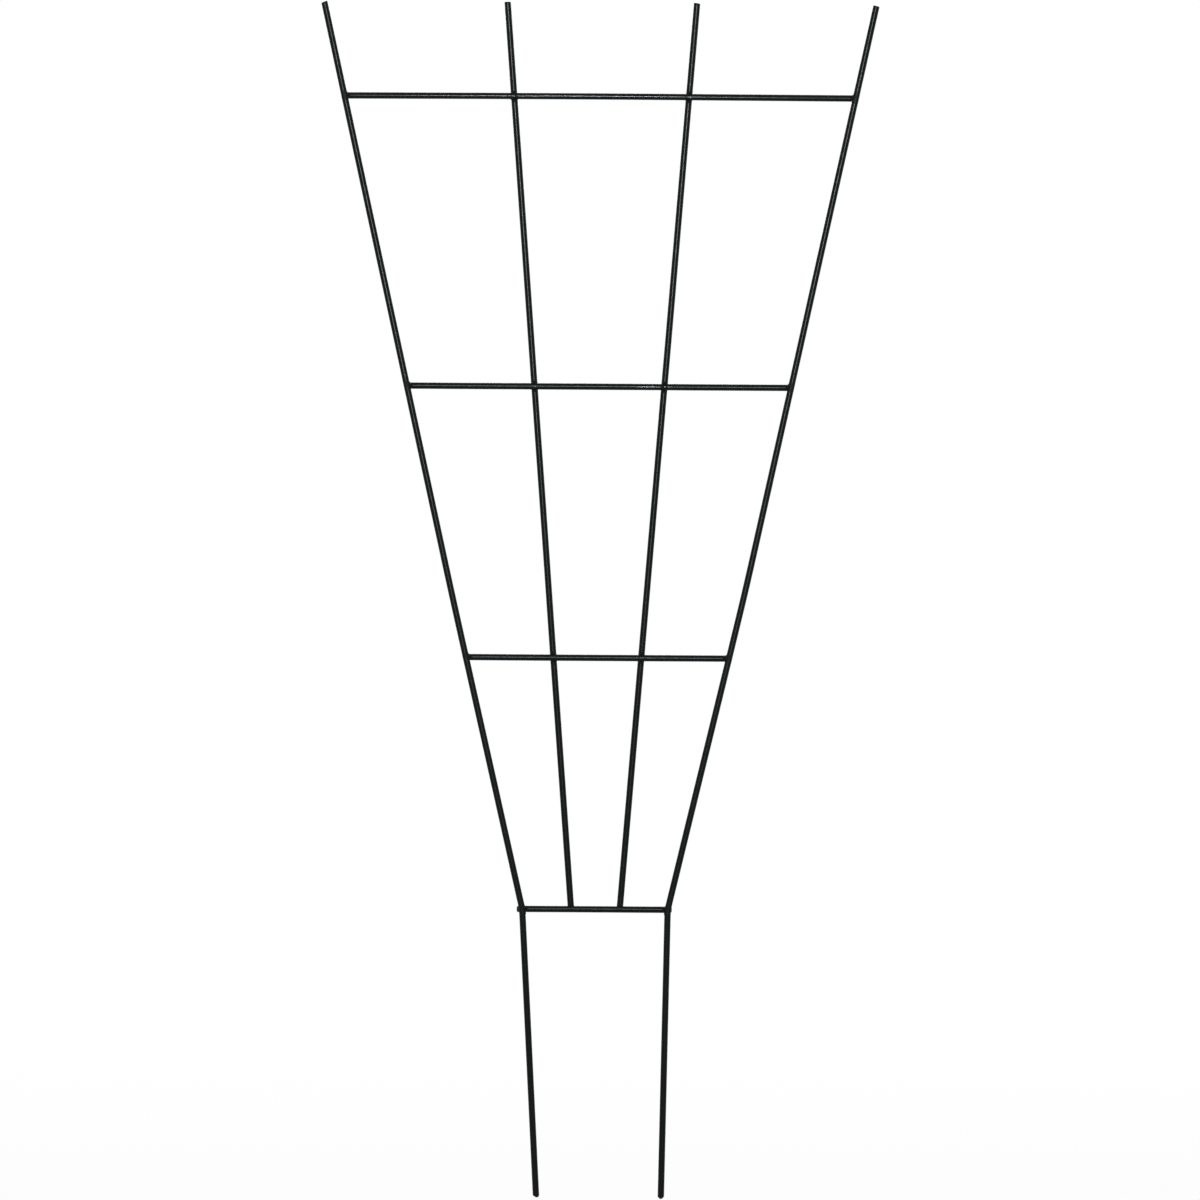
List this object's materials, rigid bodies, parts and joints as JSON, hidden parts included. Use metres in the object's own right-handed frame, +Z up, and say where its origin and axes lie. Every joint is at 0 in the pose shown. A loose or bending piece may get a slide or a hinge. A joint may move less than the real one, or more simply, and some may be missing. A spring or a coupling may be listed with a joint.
{
  "type": "fan trellis",
  "caption": "Flat fan-shaped garden trellis welded from coated steel rod, pushed into soil on two pointed stakes to carry climbing plants.",
  "frame": {"origin": "ground line: underside of the bottom crossbar, halfway between the outer uprights", "axes": "+Z up, X across the fan, -Y towards the front, the side that the outer uprights lie on"},
  "size_m": [0.5693, 0.0188, 1.2205],
  "materials": {
    "coated_rod": "satin black powder coat on round steel rod",
    "weld": "satin black powder coat over lumpy weld metal"
  },
  "bodies": {
    "root": {"top_crossbar": "coated_rod", "middle_crossbar": "coated_rod", "lower_crossbar": "coated_rod", "bottom_crossbar": "coated_rod", "outer_upright_left": "coated_rod", "weld_top_outer_left": "weld", "weld_middle_outer_left": "weld", "weld_lower_outer_left": "weld", "weld_bottom_outer_left": "weld", "outer_upright_right": "coated_rod", "weld_top_outer_right": "weld", "weld_middle_outer_right": "weld", "weld_lower_outer_right": "weld", "weld_bottom_outer_right": "weld", "inner_upright_left": "coated_rod", "weld_top_inner_left": "weld", "weld_middle_inner_left": "weld", "weld_lower_inner_left": "weld", "weld_bottom_inner_left": "weld", "inner_upright_right": "coated_rod", "weld_top_inner_right": "weld", "weld_middle_inner_right": "weld", "weld_lower_inner_right": "weld", "weld_bottom_inner_right": "weld"}
  },
  "joints": []
}
